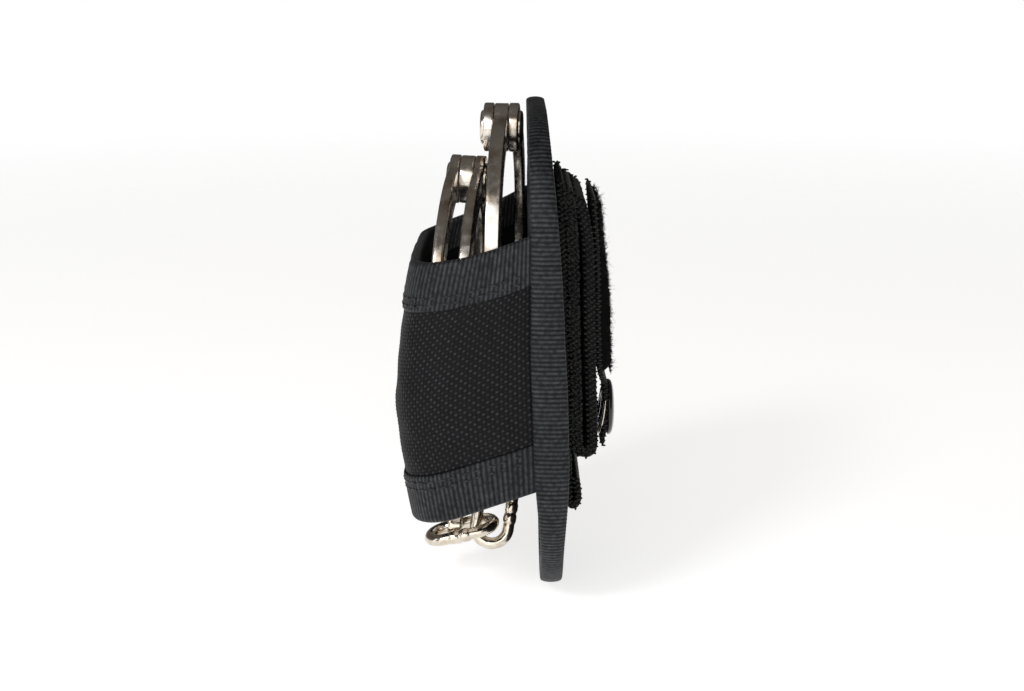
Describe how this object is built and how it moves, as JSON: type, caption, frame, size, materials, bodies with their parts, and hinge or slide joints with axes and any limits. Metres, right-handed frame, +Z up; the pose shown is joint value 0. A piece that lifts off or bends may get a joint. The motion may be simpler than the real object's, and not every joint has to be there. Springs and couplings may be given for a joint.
{
  "type": "handcuff belt pouch with handcuffs",
  "caption": "Open-top padded duty-belt pouch holding a pair of chain handcuffs, with a bound back panel, bulged band, belt loop, snap keeper and pile patch",
  "frame": {"origin": "middle of the belt channel on the back of the panel", "axes": "+X along the belt, +Y towards the wearer, -Y the front of the pouch, +Z up"},
  "size_m": [0.082, 0.0561, 0.1285],
  "materials": {
    "cordura": "matte",
    "grosgrain": "matte",
    "foam": "matte",
    "webbing": "matte",
    "pile": "matte",
    "snap_black": "gloss",
    "nickel": "worn satin",
    "spring_steel": "satin"
  },
  "bodies": {
    "holder": {"back_panel_face": "cordura", "back_panel_core": "foam", "back_panel_back": "cordura", "panel_binding": "grosgrain", "pouch_band": "cordura", "band_top_binding": "grosgrain", "band_bottom_binding": "grosgrain", "ladder_webbing": "webbing", "belt_loop_webbing": "webbing", "snap_stud": "snap_black"},
    "keeper": {"keeper_tab": "webbing", "pile_face": "pile", "snap_socket": "snap_black", "snap_cap": "snap_black"},
    "cuff_a": {"cuff_a_front_cheek": "nickel", "cuff_a_rear_cheek": "nickel", "cuff_a_lock_core": "nickel", "cuff_a_hinge_rivet": "nickel", "cuff_a_case_rivets": "nickel", "cuff_a_pawl_pin": "nickel", "cuff_a_pawl_spring": "spring_steel", "cuff_a_key_post": "nickel"},
    "arm_a": {"cuff_a_ratchet_arm": "nickel"},
    "pawl_a": {"cuff_a_pawl": "spring_steel"},
    "lock_bar_a": {"cuff_a_lock_bar": "spring_steel"},
    "swivel_a": {"cuff_a_swivel": "nickel"},
    "cuff_b": {"cuff_b_front_cheek": "nickel", "cuff_b_rear_cheek": "nickel", "cuff_b_lock_core": "nickel", "cuff_b_hinge_rivet": "nickel", "cuff_b_case_rivets": "nickel", "cuff_b_pawl_pin": "nickel", "cuff_b_pawl_spring": "spring_steel", "cuff_b_key_post": "nickel"},
    "arm_b": {"cuff_b_ratchet_arm": "nickel"},
    "pawl_b": {"cuff_b_pawl": "spring_steel"},
    "lock_bar_b": {"cuff_b_lock_bar": "spring_steel"},
    "swivel_b": {"cuff_b_swivel": "nickel"},
    "link_1": {"chain_link_1": "nickel"},
    "link_2": {"chain_link_2": "nickel"}
  },
  "joints": [
    {"name": "keeper_open", "type": "hinge", "parent": "holder", "child": "keeper", "pos_m": [0, 0.0042, 0.0363], "axis": [1, 0, 0], "range_deg": [0, 120]},
    {"name": "cuffs_draw", "type": "slide", "parent": "holder", "child": "cuff_b", "axis": [0, 0, 1], "range_m": [0, 0.1]},
    {"name": "cuff_a_draw", "type": "slide", "parent": "holder", "child": "cuff_a", "axis": [0, 0, 1], "range_m": [0, 0.1]},
    {"name": "arm_a_close", "type": "hinge", "parent": "cuff_a", "child": "arm_a", "pos_m": [0, -0.0289, 0.0391], "axis": [-0.0958, -0.9946, 0.0401], "range_deg": [0, 20]},
    {"name": "pawl_a_press", "type": "hinge", "parent": "cuff_a", "child": "pawl_a", "pos_m": [0.0053, -0.03223, -0.03084], "axis": [-0.0958, -0.9946, 0.0401], "range_deg": [0, 5], "stiffness_Nm_per_rad": 0.005, "springref_deg": -11.46},
    {"name": "lock_bar_a_slide", "type": "slide", "parent": "cuff_a", "child": "lock_bar_a", "axis": [0.9954, -0.0958, 0], "range_m": [0, 0.002]},
    {"name": "swivel_a_turn", "type": "hinge", "parent": "cuff_a", "child": "swivel_a", "pos_m": [-0.00032, -0.03222, -0.04383], "axis": [-0.0038, -0.0399, -0.9992], "range_deg": [-4, 4]},
    {"name": "arm_b_close", "type": "hinge", "parent": "cuff_b", "child": "arm_b", "pos_m": [0, -0.0202, 0.0525], "axis": [0.061, 0.9981, -0.0087], "range_deg": [0, 20]},
    {"name": "pawl_b_press", "type": "hinge", "parent": "cuff_b", "child": "pawl_b", "pos_m": [-0.00563, -0.02047, -0.0175], "axis": [0.061, 0.9981, -0.0087], "range_deg": [0, 5], "stiffness_Nm_per_rad": 0.005, "springref_deg": -11.46},
    {"name": "lock_bar_b_slide", "type": "slide", "parent": "cuff_b", "child": "lock_bar_b", "axis": [-0.9981, 0.061, 0], "range_m": [0, 0.002]},
    {"name": "swivel_b_turn", "type": "hinge", "parent": "cuff_b", "child": "swivel_b", "pos_m": [-0.00004, -0.02092, -0.0305], "axis": [-0.0005, -0.0087, -1], "range_deg": [-4, 4]},
    {"name": "link_1_lift", "type": "hinge", "parent": "swivel_a", "child": "link_1", "pos_m": [-0.00018, -0.03077, -0.05521], "axis": [-0.0926, -0.9615, -0.2588], "range_deg": [0, 20]},
    {"name": "link_2_swing", "type": "hinge", "parent": "swivel_b", "child": "link_2", "pos_m": [0.00045, -0.02103, -0.042], "axis": [0, -0.9877, 0.1564], "range_deg": [0, 2]}
  ],
  "couplings": [
    {"joint": "cuff_a_draw", "follows": "cuffs_draw", "ratio": 1}
  ]
}
